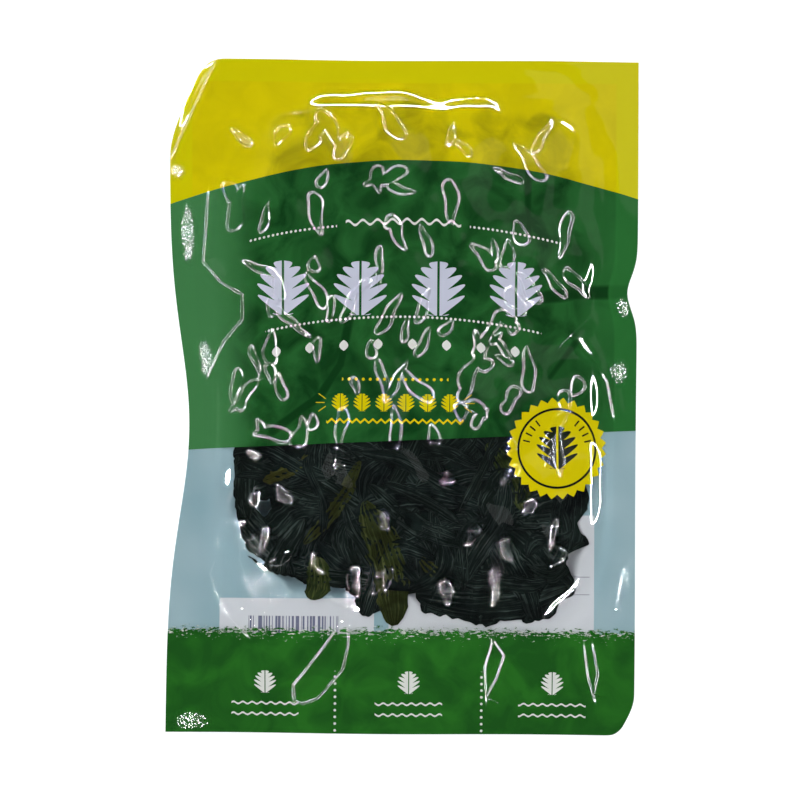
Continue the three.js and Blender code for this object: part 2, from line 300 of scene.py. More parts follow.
# the lower and right edge of the bunch, which no dark blade passes
hemLine = [
    (-58, -38), (-55.8, -42), (-54.8, -49), (-52.4, -54), (-47.6, -58), (-42, -60.4),
    (-36.4, -61.2), (-32.7, -63.6),
    (-23.8, -64.3), (-16.7, -67.6), (-15.7, -72.8), (-12.4, -74.7), (-6, -74), (0, -73), (7, -73), (25, -77),
    (28.6, -78.4), (35.7, -77.6), (40.8, -78.6), (45, -76), (51.4, -75.2), (56, -72), (59.7, -66), (66, -64),
]
rightLine = [
    (57.5, -72), (59.7, -66), (58.7, -61.2), (55.8, -56), (57, -52.4), (64.5, -49.7), (59.7, -44),
    (60.5, -40.5), (64, -38), (63.6, -30), (62, -10),
]
leftLine = [(-51.5, -58), (-55.4, -42.6), (-56.8, -34), (-57.2, -19), (-56, -10)]
packReach = {
    "x": 3.5, "y": 15.5, "halfWidth": 58, "halfHeight": 88,
    "power": 6, "share": 0.96, "wander": 0.05,
}
# deep creases that the vacuum leaves in the pack
creases = [
    {"points": [(-18, 27), (-21, 11), (-28, 0), (-44, -12)], "depth": 2.2, "reach": 2.4},
    {"points": [(42, 76), (42.5, 56)], "depth": 2.0, "reach": 2.2},
    {"points": [(78, 36.5), (60, 36), (47, 34)], "depth": 2.6, "reach": 2.8},
    {"points": [(59, 19), (50, 7)], "depth": 1.8, "reach": 2.2},
    {"points": [(33, 18), (48, 3)], "depth": 1.4, "reach": 2.0},
]
creaseDepth = np.zeros_like(fieldX)
for crease in creases:
    away = lineDistance(fieldX, fieldY, crease["points"])
    creaseDepth = np.maximum(creaseDepth, crease["depth"] * bell(away, crease["reach"]))
# the bunch thins out gently towards its edge
edgeEase = np.clip(2 * soften(soften(bunchThere, wakame["edgeEase"]), wakame["edgeEase"]) - 0.9, 0, 1) ** 0.85
ceiling = clingLevel + (filmTop - wakame["headroom"] - clingLevel) * np.maximum(edgeEase, 0.12) - creaseDepth
heartTop = clingLevel + (bunchTop - wakame["coreDepth"] - clingLevel) * edgeEase - creaseDepth
# the shoulder of the bunch wanders in and out
wander = np.sin(fieldX / 5.1 + 0.8 * np.sin(fieldY / 9)) * np.sin(fieldY / 7.3 + 0.9)
wander = wander + 0.5 * np.sin(fieldY / 3.7 + fieldX / 6)
heartThere = soften(bunchThere, 9) > 0.72 + 0.22 * wander
pile = np.where(heartThere, np.maximum(heartTop, backBase + 0.15), backBase + 0.15)


def bladeCells(blade):
    columns, rows = blade["cells"]
    fine = wakame["fine"]
    across = np.linspace(-1, 1, columns * fine + 1)[None, :]
    along = np.linspace(0, 1, rows * fine + 1)[:, None]
    heading = math.radians(blade["heading"])
    wayX, wayY = math.cos(heading), math.sin(heading)
    taper = np.sqrt(np.clip(1 - np.abs(2 * along - 1) ** 3.2, 0.03, 1))
    beat = math.pi * blade["lobes"] * along + np.sign(across) * 0.7
    wide, small = wakame["lobeDepth"]
    lobes = 1 - wide * np.abs(np.sin(beat)) - small * np.abs(np.sin(2.7 * beat + blade["phase"]))
    bow = blade["bend"] * (1 - (2 * along - 1) ** 2)
    bow = bow + blade["sway"] * np.sin(2 * math.pi * along + blade["phase"])
    offset = bow + across * taper * lobes * blade["width"] / 2
    run = (along - 1) * blade["length"] + 0 * across
    x = blade["x"] + wayX * run - wayY * offset
    y = blade["y"] + wayY * run + wayX * offset
    if not blade["pale"]:
        x, y = keepInPack(x, y)
    return x, y, along + 0 * across, across + 0 * along


# draws points that pass the edge of the bunch back to it
def keepInPack(x, y):
    power = packReach["power"]
    acrossPack = np.abs((x - packReach["x"]) / packReach["halfWidth"])
    alongPack = np.abs((y - packReach["y"]) / packReach["halfHeight"])
    radius = (acrossPack ** power + alongPack ** power) ** (1 / power)
    share = packReach["share"] - packReach["wander"] * np.sin(x / 6 + 1) * np.sin(y / 8)
    shrink = np.where(y > -10, np.minimum(1, share / np.maximum(radius, 1e-6)), 1)
    x, y = packReach["x"] + (x - packReach["x"]) * shrink, packReach["y"] + (y - packReach["y"]) * shrink
    ragged = 0.7 * np.sin(1.3 * x) * np.sin(0.9 * y + 0.5)
    hemX, hemY = zip(*hemLine)
    y = np.maximum(y, np.interp(x, hemX, hemY) + ragged)
    rightX, rightY = zip(*rightLine)
    leftX, leftY = zip(*leftLine)
    inWindow = np.clip(x, np.interp(y, leftY, leftX) + ragged, np.interp(y, rightY, rightX) + ragged)
    return np.where(y < -10, inWindow, x), y


# lays a blade on the pile, under the film, and raises the pile by it
def layBlade(blade, order):
    x, y, along, across = bladeCells(blade)
    under = readField(pile, x, y)
    rest = np.maximum(soften(under, 2 * wakame["fine"]), under - 0.1) + wakame["lift"]
    limit = readField(ceiling, x, y) - wakame["layerDepth"] * (1 - order)
    folds = blade["width"] / blade["pleatPitch"]
    fold = np.cos(math.pi * folds * (across + 0.25 * np.sin(3 * along + blade["phase"])) + blade["phase"])
    crumple = 0.2 * np.sin(0.9 * x + blade["phase"]) * np.sin(0.7 * y - blade["phase"])
    z = np.minimum(rest, limit) + blade["pleatHeight"] * (0.5 * fold - 0.5) + crumple
    z = z - 0.5 * np.abs(across) ** 6
    z = np.maximum(z, readField(backBase, x, y) + 0.5)
    column = np.clip(np.rint((x - field["low"][0]) / field["cell"]).astype(int), 0, field["columns"] - 1)
    row = np.clip(np.rint((y - field["low"][1]) / field["cell"]).astype(int), 0, field["rows"] - 1)
    np.maximum.at(pile, (row, column), z)
    step = wakame["fine"]
    return np.stack([x, y, z], axis=-1)[::step, ::step] * mm


def addBlade(bm, surface, uvLayer, toneLayer, tone):
    rows, columns = surface.shape[0] - 1, surface.shape[1] - 1
    made = bmesh.ops.create_grid(bm, x_segments=columns, y_segments=rows, size=0.5)
    for vert in made["verts"]:
        i, j = round((vert.co.x + 0.5) * columns), round((vert.co.y + 0.5) * rows)
        vert[toneLayer] = tone
        for loop in vert.link_loops:
            loop[uvLayer].uv = (i / columns, j / rows)
        vert.co = surface[j, i]


def newBlade(rng, cells, x, y, heading, length, width, bend=None):
    return {
        "x": x, "y": y, "heading": heading, "length": length, "width": width, "cells": cells, "pale": False,
        "bend": rng.uniform(-wakame["bend"], wakame["bend"]) if bend is None else bend,
        "sway": rng.uniform(-1, 1) * (wakame["sway"] if bend is None else 0.4),
        "phase": rng.uniform(0, 2 * math.pi),
        "lobes": rng.uniform(*wakame["lobes"]),
        "pleatPitch": rng.uniform(*wakame["pleatPitch"]),
        "pleatHeight": rng.uniform(*wakame["pleatHeight"]),
    }


def scatterBlades(rng, spread):
    blades = []
    for k in range(spread["count"]):
        heading = rng.uniform(0, 360)
        length = rng.uniform(*spread["length"])
        midX = rng.uniform(*spread["x"])
        lowY, highY = spread["y"]
        midY = lowY + (highY - lowY) * ((k * 0.618034) % 1)
        tipX = midX + math.cos(math.radians(heading)) * length / 2
        tipY = midY + math.sin(math.radians(heading)) * length / 2
        width = rng.uniform(*spread["width"])
        blades.append(newBlade(rng, spread["cells"], tipX, tipY, heading, length, width))
    return blades


def bladePiece(name, material, laid):
    bm = bmesh.new()
    uvLayer = bm.loops.layers.uv.new("blade")
    toneLayer = bm.verts.layers.float.new("tone")
    for blade in laid:
        addBlade(bm, blade["surface"], uvLayer, toneLayer, blade["tone"])
    bmesh.ops.recalc_face_normals(bm, faces=bm.faces)
    for face in bm.faces:
        if face.normal.z < 0:
            face.normal_flip()
    piece = newPiece(name, bm, material)
    solid = piece.modifiers.new("thickness", "SOLIDIFY")
    solid.thickness = wakame["thickness"] * mm
    solid.offset = -1
    return piece


# all the blades in the order they are laid: body, hem, most of the window, the pale ones, the last
def layWakame():
    rng = random.Random(wakame["seed"])
    hidden = scatterBlades(rng, wakame["body"])
    hem = [newBlade(rng, wakame["edgeCells"], *tip) for tip in edgeBlades + hemBlades]
    shown = scatterBlades(rng, wakame["window"])
    pale = {node: newBlade(rng, wakame["edgeCells"], *tip) for node, (tip, _) in paleBlades.items()}
    for blade in pale.values():
        blade["pale"] = True
    late = int(len(shown) * wakame["underPale"])
    last = [pale["pale_leaf_long"]]
    early = [blade for blade in pale.values() if blade is not last[0]]
    order = hidden + hem + shown[:late] + early + shown[late:] + last
    for k, blade in enumerate(order):
        blade["surface"] = layBlade(blade, k / len(order))
        blade["tone"] = rng.random()
    for node, (_, amber) in paleBlades.items():
        pale[node]["tone"] = amber
    return hidden + hem + shown, pale


# the heart of the bunch, under its blades
def makeCore(material):
    core = {
        "cells": (44, 64), "share": 0.93, "rounding": 0.34,
        "x": 3.5, "y": 15.5, "halfWidth": 58, "halfHeight": 88,
    }
    bm = bmesh.new()
    toneLayer = bm.verts.layers.float.new("tone")
    bmesh.ops.create_grid(bm, x_segments=core["cells"][0], y_segments=core["cells"][1], size=1)
    lower = bmesh.ops.extrude_face_region(bm, geom=list(bm.faces))["geom"]
    lower = {item for item in lower if isinstance(item, bmesh.types.BMVert)}
    for vert in bm.verts:
        a, b = vert.co.x, vert.co.y
        x = core["x"] + core["halfWidth"] * core["share"] * a * math.sqrt(1 - core["rounding"] * b * b)
        y = core["y"] + core["halfHeight"] * core["share"] * b * math.sqrt(1 - core["rounding"] * a * a)
        top = float(readField(heartTop, np.array(x), np.array(y))) - 0.3
        bottom = float(readField(bunchBottom, np.array(x), np.array(y)))
        vert.co = Vector((x, y, bottom if vert in lower else max(top, bottom + 0.3))) * mm
        vert[toneLayer] = 0.2
    bmesh.ops.recalc_face_normals(bm, faces=bm.faces)
    return newPiece("wakameHeart", bm, material)


# Pale blades that lie on the bunch in the window: tip place, heading, length, width, bend; how amber
paleBlades = {
    "pale_leaf_long": ((-1.5, -78, 284, 44, 14, 2), 0.1),
    "pale_leaf_tip": ((-30, -69.5, 262, 15, 10, 1), 0.0),
    "pale_leaf_strip": ((-33, -50, 236, 34, 6, 2), 0.15),
    "pale_leaf_stub": ((-47, -29, 210, 18, 6, 1), 0.35),
    "pale_leaf_upper": ((42, -38, 300, 26, 10, 2), 0.0),
    "pale_leaf_small": ((14, -64, 306, 12, 6, 1), 0.2),
}


# Wet wakame: a salted brown-algae blade, nearly black where it lies thick, with fine ribs along it
# that show as grey-green streaks, the rib texture with painted sheen on it; held wet against the film it has
# little gloss of its own
def wetWakame(name, dark, middleTone, sheenStreak, toned):
    material, tree = newMaterial(name)
    uv = put(tree, "UVMap", uv_map="blade")
    tone = put(tree, "Attribute", attribute_name="tone", attribute_type="GEOMETRY").outputs["Fac"]
    place = put(tree, "TexCoord").outputs["Object"]
    stretched = put(tree, "VectorMath:MULTIPLY", uv, (7, 1.1, 1))
    shifted = put(tree, "CombineXYZ", 0, 0, put(tree, "Math:MULTIPLY", tone, 37.0))
    ribPlace = put(tree, "VectorMath:ADD", stretched, shifted)
    grain = {"Scale": 2.4, "Detail": 4, "Roughness": 0.55, "Distortion": 0.8}
    ribs = put(tree, "TexNoise", named={"Vector": ribPlace, **grain})
    blotch = put(tree, "TexNoise", named={"Vector": place, "Scale": 1 / (8 * mm), "Detail": 3})
    ribLine = put(tree, "MapRange", ribs, 0.5, 0.72)
    patch = put(tree, "MapRange", blotch, 0.4, 0.64)
    ground = put(tree, "Mix:RGBA", patch, hexColour(dark), hexColour(middleTone))
    tinted = put(tree, "Mix:RGBA", tone, ground, hexColour(toned))
    # the grey-green streaks along the ribs carry painted sheen, stronger in the lighter patches
    ribSheenShare = put(tree, "Math:MULTIPLY", ribLine, put(tree, "Math:MULTIPLY_ADD", patch, 0.6, 0.22))
    sheenStreaked = put(tree, "Mix:RGBA", ribSheenShare, tinted, hexColour(sheenStreak))
    bump = put(tree, "Bump", named={"Height": ribs, "Strength": 0.6, "Distance": 0.4 * mm})
    look = {"Base Color": sheenStreaked, "Normal": bump, "Roughness": 0.6, "Specular IOR Level": 0.0}
    finishMaterial(tree, put(tree, "BsdfPrincipled", named=look))
    return material


# Film blisters: pinched drop-shaped wrinkles, each closed by a steep little wall that catches the light
blisters = {
    "seed": 5,
    "upper": {
        "count": 92, "u": (-60, 62), "v": (-14, 94),
        "halfWidth": (0.9, 2.6), "halfLength": (2.4, 8.0),
    },
    "window": {
        "count": 30, "u": (-52, 58), "v": (-72, -16),
        "halfWidth": (0.8, 1.7), "halfLength": (1.8, 4.8),
    },
    "lean": 30,
    "taper": 0.5,
    "wobble": 0.22,
    "reach": 2.0,
    "rise": 0.2,
    "wall": 1.0,
    "wallHeight": 0.5,
}
# taut folds: the film steps from one side of each line to the other
tautFolds = [
    {"points": [
        (-55, -43), (-59, -43), (-62, -47), (-63, -55), (-65, -61), (-63, -67), (-60, -74), (-54, -80),
    ], "step": 0.75},
    {"points": [
        (-55, -51), (-55, -56), (-50, -70), (-46, -75),
    ], "step": 0.75},
    {"points": [
        (-16.6, -71), (-25, -84), (-33.5, -95), (-36.5, -98.5), (-36, -104), (-33, -105),
    ], "step": 0.7},
    {"points": [
        (-33, -105), (-28, -103), (-22, -96), (-19.5, -93), (-17.8, -85), (-17.5, -72),
    ], "step": 0.7},
    {"points": [
        (-64, 116), (-69, 105), (-73, 96), (-78.5, 84),
    ], "step": 0.9},
    {"points": [
        (76, -59), (74, -68), (73.5, -71), (77, -65), (77, -60), (76, -59),
    ], "step": 0.6},
    {"points": [
        (-67, 67), (-68.4, 46), (-62.6, 39), (-55, 34.7), (-54.8, 26), (-61, 18.7), (-65.3, 9.2),
    ], "step": 0.7},
    {"points": [
        (31, -85.5), (29, -92), (29.5, -102), (33, -96), (35.5, -88), (33, -84.5),
    ], "step": 0.6},
    {"points": [
        (63, -86), (64, -94), (66, -101), (67.5, -94), (66, -86),
    ], "step": 0.6},
    {"points": [
        (62, 26), (57, 21), (66, 12), (70, 6), (72, -4),
    ], "step": 0.6},
]
fold = {"reach": 2.5, "fade": 3.0, "wall": 1.1}
# fine knurl of the seal jaws, where it caught the light: place and half sizes
knurls = [
    (-74, 55, 3.2, 14), (-70.5, 13, 3.5, 8), (-71, -111, 8, 4),
    (77, 31, 3, 4), (74, 9, 3.5, 5), (-77.5, 76, 3, 3),
]
filmSheet = {
    "cells": (128, 185),
    "simScale": 20.0,
    "frames": 18,
    "slack": 0.012,
    "start": 1.0,
    "bedCells": (106, 152),
    "bedGap": 0.25,
    "cling": 4.5,
    "bridge": 4,
    "flatten": 0.8,
    "leafGap": 0.12,
    "pleatShare": 0.3,
    "pleatHeight": 0.5,
    "pleatEase": 2,
    "skirt": 36,
    "slope": 0.28,
    "rimEase": 7,
    "pressDepth": 0.8,
}


def flatGrid(name, cells, material):
    bm = bmesh.new()
    uvLayer = bm.loops.layers.uv.new("flatCut")
    bmesh.ops.create_grid(bm, x_segments=cells[0], y_segments=cells[1], size=0.5)
    for face in bm.faces:
        for loop in face.loops:
            loop[uvLayer].uv = (loop.vert.co.x + 0.5, loop.vert.co.y + 0.5)
    return newPiece(name, bm, material)


def gridCut(piece):
    flat = readPlaces(piece.data) * mm
    return flat[:, 0] * pouch["width"], flat[:, 1] * pouch["height"]


def edgeDistance(u, v):
    return np.minimum(pouch["width"] / 2 - np.abs(u), pouch["height"] / 2 - np.abs(v))


# draws the film down on its bed at simScale times its size, with its sealed rim held
def drawVacuum(film, bed, held):
    scale = filmSheet["simScale"]
    for piece in (film, bed):
        piece.data.transform(Matrix.Scale(scale, 4))
    bed.modifiers.new("bed", "COLLISION")
    bed.collision.thickness_outer = 0.004
    bed.collision.cloth_friction = 12
    group = film.vertex_groups.new(name="seal")
    for index in np.flatnonzero(held):
        group.add([int(index)], 1.0, "REPLACE")
    cloth = film.modifiers.new("vacuum", "CLOTH")
    settings = cloth.settings
    settings.quality = 5
    settings.mass = 0.3
    settings.tension_stiffness = 40
    settings.compression_stiffness = 40
    settings.shear_stiffness = 20
    settings.bending_stiffness = 1.5
    settings.air_damping = 3
    settings.shrink_min = -filmSheet["slack"]
    settings.vertex_group_mass = "seal"
    cloth.collision_settings.distance_min = 0.004
    cloth.collision_settings.collision_quality = 2
    cloth.collision_settings.use_self_collision = False
    scene.gravity = (0, 0, -9.81)
    for step in range(1, filmSheet["frames"] + 1):
        scene.frame_set(step)
    settled = bpy.data.meshes.new_from_object(film.evaluated_get(bpy.context.evaluated_depsgraph_get()))
    film.modifiers.clear()
    film.vertex_groups.clear()
    film.data = settled
    film.data.transform(Matrix.Scale(1 / scale, 4))
    scene.frame_set(1)


# each cell raised to its neighbours' height less a fall
def spread(values, fall):
    for axis in (0, 1):
        values = np.maximum(values, np.maximum(np.roll(values, 1, axis), np.roll(values, -1, axis)) - fall)
    return values


# the tops of the laid blades, as the taut film bridges them: it leaves them at no more than a slope
def leafTops():
    highest = pile.copy()
    for _ in range(filmSheet["bridge"]):
        highest = spread(highest, 0.0)
    for _ in range(filmSheet["skirt"]):
        highest = spread(highest, filmSheet["slope"] * field["cell"])
    tops = soften(soften(highest, filmSheet["bridge"]), filmSheet["bridge"])
    rows, ends = fieldY[:, :1], pouch["height"] / 2 - np.abs(fieldY)
    half = np.full_like(rows, pouch["width"] / 2)
    leftEdge, rightEdge = placeFilm(-half, rows)[0], placeFilm(half, rows)[0]
    inward = np.minimum(np.minimum(fieldX - leftEdge, rightEdge - fieldX), ends)
    flat = soften(backBase, filmSheet["bridge"]) + 0.15
    return flat + (tops - flat) * smoothStep(inward, pouch["seal"], pouch["seal"] + filmSheet["rimEase"])


# presses a piece under the film, what was laid first the deepest
def pressUnder(film, piece):
    mesh = film.data
    tree = BVHTree.FromPolygons([v.co for v in mesh.vertices], [p.vertices for p in mesh.polygons])
    count = len(piece.data.vertices)
    for vert in piece.data.vertices:
        hit = tree.ray_cast(Vector((vert.co.x, vert.co.y, 0.1)), Vector((0, 0, -1)))[0]
        if hit:
            gap = filmSheet["leafGap"] + filmSheet["pressDepth"] * (1 - vert.index / count)
            vert.co.z = min(vert.co.z, hit.z - gap * mm)
    piece.data.update()


# where the film comes to rest: on the leaves, or on the back web
def restLevel(tops, x, y):
    return np.maximum(readField(tops, x, y), readField(backBase, x, y) + filmSheet["bedGap"])


def makeBed(tops):
    bed = flatGrid("leafBed", filmSheet["bedCells"], bpy.data.materials.new("bed"))
    u, v = gridCut(bed)
    x, y = placeFilm(u, v)
    setHeights(bed.data, x, y, restLevel(tops, x, y))
    return bed


# vacuum holds the drawn film close: its pleats keep a part of their sideways way and little of their height
def easePleats(film, tops, u, v):
    drawnX, drawnY, drawnZ = readPlaces(film.data).T
    flatX, flatY = placeFilm(u, v)
    x = flatX + filmSheet["pleatShare"] * (drawnX - flatX)
    y = flatY + filmSheet["pleatShare"] * (drawnY - flatY)
    limit = filmSheet["pleatHeight"]
    rise = limit * np.tanh((drawnZ - restLevel(tops, drawnX, drawnY)) / limit)
    order = np.lexsort((u, np.round(v, 3)))
    columns, rows = filmSheet["cells"]
    rise[order] = soften(rise[order].reshape(rows + 1, columns + 1), filmSheet["pleatEase"]).ravel()
    setHeights(film.data, x, y, restLevel(tops, x, y) + rise)


# one Subdivision level gives the fine mesh that the wrinkles need
def refine(film):
    finer = film.modifiers.new("finer", "SUBSURF")
    finer.levels = finer.render_levels = 1
    finer.boundary_smooth = "PRESERVE_CORNERS"
    mesh = bpy.data.meshes.new_from_object(film.evaluated_get(bpy.context.evaluated_depsgraph_get()))
    film.modifiers.clear()
    film.data = mesh
    mesh.shade_smooth()


# signed distance in mm to the nearest blister's wall, above 0 inside it
def blisterField(x, y):
    rng = random.Random(blisters["seed"])
    nearest = np.full(len(x), -blisters["reach"])
    for zone in (blisters["upper"], blisters["window"]):
        for _ in range(zone["count"]):
            atX, atY = rng.uniform(*zone["u"]), rng.uniform(*zone["v"])
            width = rng.uniform(*zone["halfWidth"])
            length = max(rng.uniform(*zone["halfLength"]), 1.3 * width)
            turn = math.radians(rng.gauss(0, blisters["lean"]))
            flip, phase = rng.choice((-1, 1)), rng.uniform(0, 2 * math.pi)
            near = np.hypot(x - atX, y - atY) < length + 3
            dx, dy = x[near] - atX, y[near] - atY
            along = flip * (dy * math.cos(turn) + dx * math.sin(turn))
            across = dx * math.cos(turn) - dy * math.sin(turn)
            across = across + blisters["wobble"] * width * np.sin(0.8 * along / width ** 0.5 + phase)
            widest = width * (1 - blisters["taper"] * along / length).clip(0.2, 2)
            size = np.sqrt((across / widest) ** 2 + (along / length) ** 2) + 1e-6
            slope = np.sqrt((across / widest ** 2) ** 2 + (along / length ** 2) ** 2) / size + 1e-6
            nearest[near] = np.maximum(nearest[near], (1 - size) / slope)
    return np.clip(nearest, -blisters["reach"], blisters["reach"])


# above 0 on the left of a bent line, for the nearest of its runs
def lineSide(x, y, points):
    nearest = np.full(np.shape(x), 1e6)
    side = np.zeros(np.shape(x))
    for (ax, ay), (bx, by) in zip(points, points[1:]):
        dx, dy = bx - ax, by - ay
        share = np.clip(((x - ax) * dx + (y - ay) * dy) / (dx * dx + dy * dy), 0, 1)
        away = np.hypot(x - ax - share * dx, y - ay - share * dy)
        across = (dx * (y - ay) - dy * (x - ax)) / math.hypot(dx, dy)
        side = np.where(away < nearest, across, side)
        nearest = np.minimum(nearest, away)
    return side


# for the nearest taut fold: the distance across it, and its height there
def foldField(x, y):
    across, height = np.full(len(x), fold["reach"]), np.zeros(len(x))
    nearest = np.full(len(x), 1e6)
    for taut in tautFolds:
        away = lineDistance(x, y, taut["points"])
        closer = away < nearest
        across = np.where(closer, lineSide(x, y, taut["points"]), across)
        height = np.where(closer, taut["step"] * bell(away, fold["fade"]), height)
        nearest = np.minimum(nearest, away)
    return np.clip(across, -fold["reach"], fold["reach"]), height


def flatPlaces(mesh):
    cut = np.zeros(len(mesh.loops) * 2, np.float32)
    mesh.uv_layers["flatCut"].data.foreach_get("uv", cut)
    loopVert = np.zeros(len(mesh.loops), int)
    mesh.loops.foreach_get("vertex_index", loopVert)
    flat = np.zeros((len(mesh.vertices), 2))
    flat[loopVert] = cut.reshape(-1, 2)
    return (flat[:, 0] - 0.5) * pouch["width"], (flat[:, 1] - 0.5) * pouch["height"]


# how far past the seal the webs cling together, in mm
def sealWander(u, v):
    waves = np.sin(u / 11 + 0.4) * np.sin(v / 17 + 1.1) + 0.6 * np.sin(v / 6.3 + u / 9)
    return filmSheet["cling"] * np.clip(0.5 + 0.4 * waves, 0, 1)


def makeFrontFilm(material):
    film = flatGrid("frontFilm", filmSheet["cells"], material)
    u, v = gridCut(film)
    x, y = placeFilm(u, v)
    tops = leafTops()
    inside = edgeDistance(u, v) - sealWander(u, v)
    start = readField(tops, x, y) + filmSheet["start"]
    rim = readField(backBase, x, y) + 2 * webs["rimGap"]
    ease = smoothStep(inside, pouch["seal"], pouch["seal"] + 6)
    setHeights(film.data, x, y, rim + (start - rim) * ease)
    bed = makeBed(tops)
    drawVacuum(film, bed, inside < pouch["seal"])
    bpy.data.objects.remove(bed)
    easePleats(film, tops, u, v)
    refine(film)
    x, y, z = readPlaces(film.data).T
    u, v = flatPlaces(film.data)
    free = smoothStep(edgeDistance(u, v), pouch["seal"] - 1, pouch["seal"] + 5)
    over = smoothStep(readField(tops, x, y) - readField(backBase, x, y), 0.8, 3.0)
    # between the seal and the bunch the webs cling, so most of the slack lies flat there
    leafTop = readField(tops, x, y) + filmSheet["leafGap"] * over
    z = z + (1 - over) * filmSheet["flatten"] * (leafTop - z)
    blister = blisterField(x, y)
    z = z + blisters["rise"] * smoothStep(blister, -0.8, 0.8) * free
    z = np.maximum(z, np.maximum(leafTop, readField(backBase, x, y) + 0.15))
    setHeights(film.data, x, y, z)
    creased = readField(creaseDepth, x, y)
    touch = (1 - smoothStep(z - leafTop, 0.1, 0.9)) * over
    knurl = np.zeros(len(x))
    for atU, atV, halfU, halfV in knurls:
        knurl = np.maximum(knurl, 1 - smoothStep(np.hypot((u - atU) / halfU, (v - atV) / halfV), 0.4, 1.1))
    setAttribute(film.data, "touch", touch)
    # the crease mask darkens the print in the pack's creases: painted shade
    setAttribute(film.data, "crease", smoothStep(creased, 0.7, 1.9))
    setAttribute(film.data, "blister", np.where(free > 0.3, blister, -blisters["reach"]))
    setAttribute(film.data, "knurl", knurl)
    foldSide, foldHeight = foldField(x, y)
    setAttribute(film.data, "foldSide", foldSide)
    setAttribute(film.data, "foldHeight", foldHeight)
    print("front film:", len(film.data.polygons), "faces, touching share", round(float(touch.mean()), 3))
    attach(film, "root")
    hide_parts("front_film")
    return film


def makeBackFilm(material):
    film = flatGrid("backFilm", (120, 172), material)
    u, v = gridCut(film)
    x, y = placeFilm(u, v)
    setHeights(film.data, x, y, readField(backBase, x, y))
    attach(film, "root")
    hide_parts("back_film")
    return film


# Printed laminate of the front web: glossy clear film with ink behind its face. It reads darker where
# wet leaves touch it, has painted shade in the pack's creases, and the bare window shows the contents.
ink = {
    "green": "#296a31", "greenTouchAndCreaseShade": "#0e3d17", "greenSeal": "#2f7a38", "greenFoot": "#2a7223",
    "greenPaintedSheen": "#478650",
    "yellow": "#e2d202", "yellowTouchAndCreaseShade": "#a59c08", "yellowSeal": "#d9d102",
    "white": "#e9ece6", "lilac": "#d0d4e6", "dark": "#1c2413",
    "roughness": 0.04, "cover": 0.9,
}
layout = {
    "headArc": (80.2, 0.0021, 4.0),
    "windowLine": (-14.7, 0.0475),
    "footLine": -79.6,
    "seal": 7.6,
    "badge": (52.7, -17.0), "badgeRadius": 15.6, "badgePoints": 28, "badgePoint": 1.7, "ring": 13.3,
    "upperDots": (58.9, 0.00227, 22.5, 53.0), "lowerDots": (27.2, 0.0024, 0.0, 47.0),
    "dotPitch": 1.55, "dot": 0.42,
    "dividers": (-22.1, 27.9), "dividerTop": -93.5, "dividerPitch": 2.3, "dividerDot": 0.45,
    "titlePitch": 26.4, "titleMiddle": -1.2, "titleV": 36.5, "titleHeight": 19.0, "titleCount": 4,
    "dropPitch": 11.6, "dropMiddle": -2.5, "dropV": 18.0, "dropSpan": 46.4,
    "yellowMiddle": -2.4, "yellowFronds": 6, "yellowPitch": 7.4, "yellowV": -2.0, "yellowHeight": 6.2,
    "footPitch": 49.0, "footMiddle": 3.0, "footV": -97.5, "footHeight": 8.0,
}


# a plain frond: lobed on both sides of a bare midrib
def frond(tree, du, dv, height):
    side = put(tree, "Math:ABSOLUTE", du)
    run = put(tree, "Math:DIVIDE", dv, height / 2)
    left = put(tree, "Math:SUBTRACT", 1.0, put(tree, "Math:MULTIPLY", run, run))
    bulge = put(tree, "Math:SQRT", put(tree, "Math:MAXIMUM", left, 0.0))
    slant = put(tree, "Math:SUBTRACT", dv, put(tree, "Math:MULTIPLY", side, 0.6))
    beat = put(tree, "Math:MULTIPLY", slant, math.pi / (0.2 * height))
    lobe = put(tree, "Math:ABSOLUTE", put(tree, "Math:COSINE", beat))
    lobed = put(tree, "Math:MULTIPLY_ADD", lobe, 0.32 * height, 0.16 * height)
    reach = put(tree, "Math:MULTIPLY", bulge, lobed)
    inside = put(tree, "Math:LESS_THAN", side, reach)
    cutFoot = put(tree, "Math:GREATER_THAN", run, -0.93)
    rib = put(tree, "Math:GREATER_THAN", side, 0.022 * height)
    return put(tree, "Math:MULTIPLY", inside, put(tree, "Math:MULTIPLY", rib, cutFoot))


# round dots in a row along a line: run is along it and off is away from it, in mm
def dots(tree, run, off, pitch, radius):
    within = put(tree, "Math:SUBTRACT", put(tree, "Math:FRACT", put(tree, "Math:DIVIDE", run, pitch)), 0.5)
    step = put(tree, "Math:MULTIPLY", within, pitch)
    away = put(tree, "Math:ADD", put(tree, "Math:MULTIPLY", step, step), put(tree, "Math:MULTIPLY", off, off))
    return put(tree, "Math:LESS_THAN", away, radius * radius)


# 1 where a value is between low and high
def between(tree, value, low, high):
    return put(tree, "Math:COMPARE", value, (low + high) / 2, (high - low) / 2)


def arcOffset(tree, u, v, height, bow, middleU=0.0):
    du = put(tree, "Math:SUBTRACT", u, middleU)
    arc = put(tree, "Math:MULTIPLY_ADD", put(tree, "Math:MULTIPLY", du, du), -bow, height)
    return put(tree, "Math:SUBTRACT", v, arc)


# a thin waved line about off = 0
def waveLine(tree, u, off, swing, pitch, half):
    turn = put(tree, "Math:MULTIPLY", u, 2 * math.pi / pitch)
    wave = put(tree, "Math:MULTIPLY", put(tree, "Math:SINE", turn), swing)
    away = put(tree, "Math:ABSOLUTE", put(tree, "Math:SUBTRACT", off, wave))
    return put(tree, "Math:LESS_THAN", away, half)


# repeats u every pitch about a middle that has a mark on it
def repeated(tree, u, middleU, pitch):
    turn = put(tree, "Math:DIVIDE", put(tree, "Math:SUBTRACT", u, middleU - pitch / 2), pitch)
    return put(tree, "Math:MULTIPLY", put(tree, "Math:SUBTRACT", put(tree, "Math:FRACT", turn), 0.5), pitch)


def withinSpan(tree, mask, u, middleU, half):
    return put(tree, "Math:MULTIPLY", mask, between(tree, u, middleU - half, middleU + half))


def anyOf(tree, masks):
    total = masks[0]
    for mask in masks[1:]:
        total = put(tree, "Math:MAXIMUM", total, mask)
    return total


